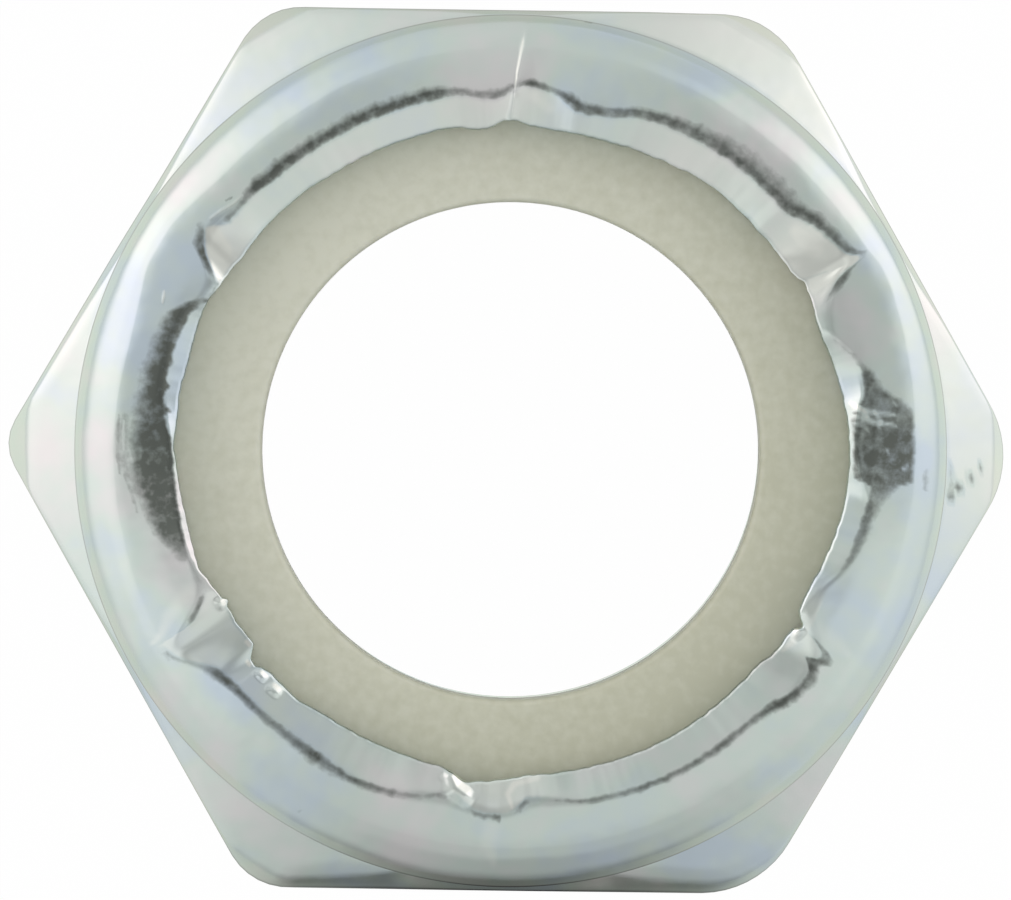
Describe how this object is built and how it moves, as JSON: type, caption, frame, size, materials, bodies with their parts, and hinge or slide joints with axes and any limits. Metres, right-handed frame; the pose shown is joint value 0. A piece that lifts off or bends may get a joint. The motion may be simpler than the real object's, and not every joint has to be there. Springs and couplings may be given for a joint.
{
  "type": "nylon insert lock nut",
  "caption": "Hexagon lock nut with a round collar crimped over a nylon ring. The ring grips the bolt's thread, so the nut does not shake loose.",
  "frame": {"origin": "centre of the bearing face, on the thread's axis", "axes": "+Z along the thread, from the bearing face towards the nylon end; +X towards a corner of the hexagon; two of the flats face +Y and -Y"},
  "size_m": [0.0215, 0.019, 0.0151],
  "materials": {
    "zinc_plated_steel": "bright zinc plate, pale blue-grey, smooth and glossy with light scuffs",
    "natural_nylon": "natural nylon, greenish cream, satin and slightly translucent"
  },
  "bodies": {
    "root": {"nut_body": "zinc_plated_steel", "nylon_insert": "natural_nylon"}
  },
  "joints": []
}
